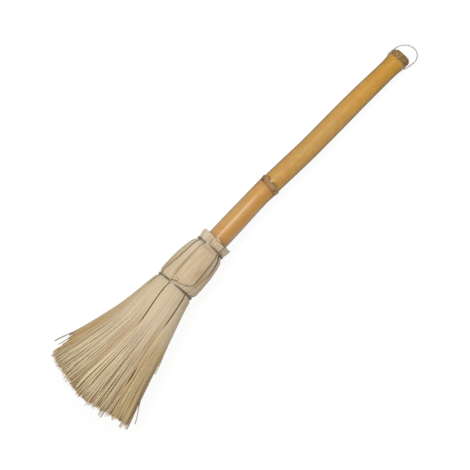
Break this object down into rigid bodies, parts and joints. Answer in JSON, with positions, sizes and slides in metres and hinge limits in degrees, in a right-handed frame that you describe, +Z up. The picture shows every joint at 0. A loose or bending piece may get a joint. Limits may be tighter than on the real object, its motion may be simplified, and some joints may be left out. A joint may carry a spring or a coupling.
{
  "type": "palm broom",
  "caption": "Hand broom of split palm leaves bound with wire round a cane handle, with a swinging wire hanging loop at the end.",
  "frame": {"origin": "bottom centre of the whole broom, on the surface it lies on", "axes": "+X from the tips of the leaves to the hanging loop, +Z up, +Y across the fan"},
  "size_m": [0.6186, 0.148, 0.0933],
  "materials": {
    "cane": "gloss",
    "dry_sheath": "rough",
    "leaf_outer": "matte",
    "leaf_inner": "matte",
    "leaf_flap": "matte",
    "bright_wire": "satin",
    "dull_wire": "satin"
  },
  "bodies": {
    "broom": {"cane_handle": "cane", "node_sheath_mid": "dry_sheath", "node_sheath_top": "dry_sheath", "neck_wire": "dull_wire", "waist_wire": "dull_wire", "leaf_flap": "leaf_flap", "flap_nail": "dull_wire", "leaf_outer_1": "leaf_outer", "leaf_outer_2": "leaf_outer", "leaf_outer_3": "leaf_outer", "leaf_outer_4": "leaf_outer", "leaf_outer_5": "leaf_outer", "leaf_outer_6": "leaf_outer", "leaf_outer_7": "leaf_outer", "leaf_second_1": "leaf_inner", "leaf_second_2": "leaf_inner", "leaf_second_3": "leaf_inner", "leaf_second_4": "leaf_inner", "leaf_second_5": "leaf_inner", "leaf_second_6": "leaf_inner", "leaf_third_1": "leaf_inner", "leaf_third_2": "leaf_inner", "leaf_third_3": "leaf_inner", "leaf_third_4": "leaf_inner", "leaf_third_5": "leaf_inner", "leaf_core_1": "leaf_inner", "leaf_core_2": "leaf_inner", "leaf_core_3": "leaf_inner", "leaf_core_4": "leaf_inner"},
    "hanger": {"hanging_loop": "bright_wire"}
  },
  "joints": [
    {"name": "hanger_swing", "type": "hinge", "parent": "broom", "child": "hanger", "pos_m": [0.27864, -0.00095, 0.01427], "axis": [-0.022, -0.8898, 0.4559], "range_deg": [-134.2, 165.7]}
  ]
}
